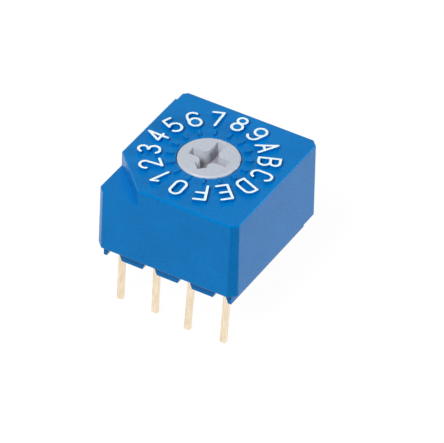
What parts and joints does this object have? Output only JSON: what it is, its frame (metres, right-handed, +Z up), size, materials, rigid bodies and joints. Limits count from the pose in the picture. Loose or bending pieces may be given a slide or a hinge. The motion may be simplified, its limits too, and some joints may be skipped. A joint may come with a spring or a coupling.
{
  "type": "rotary switch",
  "caption": "Square sixteen-position code switch with a screwdriver-turned rotor, four through-hole pins in front and one behind.",
  "frame": {"origin": "middle of the footprint, on the plane of the pin tips", "axes": "+Z up through the rotor's axis; -Y towards the side the arrow points to at rest, with character 0 and the front row of pins; +X to the right seen from that side"},
  "size_m": [0.01, 0.0104, 0.0104],
  "materials": {
    "blue_plastic": "fine spark-eroded texture",
    "base_plastic": "satin moulded",
    "grey_plastic": "satin moulded",
    "rubber": "smooth",
    "laminate": "satin",
    "gold_plate": "plated",
    "epoxy": "cast, glossy",
    "pin_metal": "gold plated, satin",
    "spring_metal": "gold plated",
    "detent_steel": "rolled strip"
  },
  "bodies": {
    "switch_body": {"housing": "blue_plastic", "base": "base_plastic", "potting": "epoxy", "o_ring": "rubber", "detent_spring_left": "detent_steel", "detent_spring_right": "detent_steel", "contact_spring_common": "spring_metal", "contact_spring_bit_1": "spring_metal", "contact_spring_bit_2": "spring_metal", "contact_spring_bit_4": "spring_metal", "contact_spring_bit_8": "spring_metal", "terminal_bit_1": "pin_metal", "terminal_bit_2": "pin_metal", "terminal_bit_4": "pin_metal", "terminal_bit_8": "pin_metal", "terminal_common": "pin_metal"},
    "rotor_assembly": {"rotor": "grey_plastic", "code_disc": "laminate", "code_pattern": "gold_plate"}
  },
  "joints": [
    {"name": "rotor_turn", "type": "hinge", "parent": "switch_body", "child": "rotor_assembly", "pos_m": [0, 0, 0.0075], "axis": [0, 0, 1], "continuous": true, "deforming": ["detent_spring_left", "detent_spring_right"]}
  ]
}
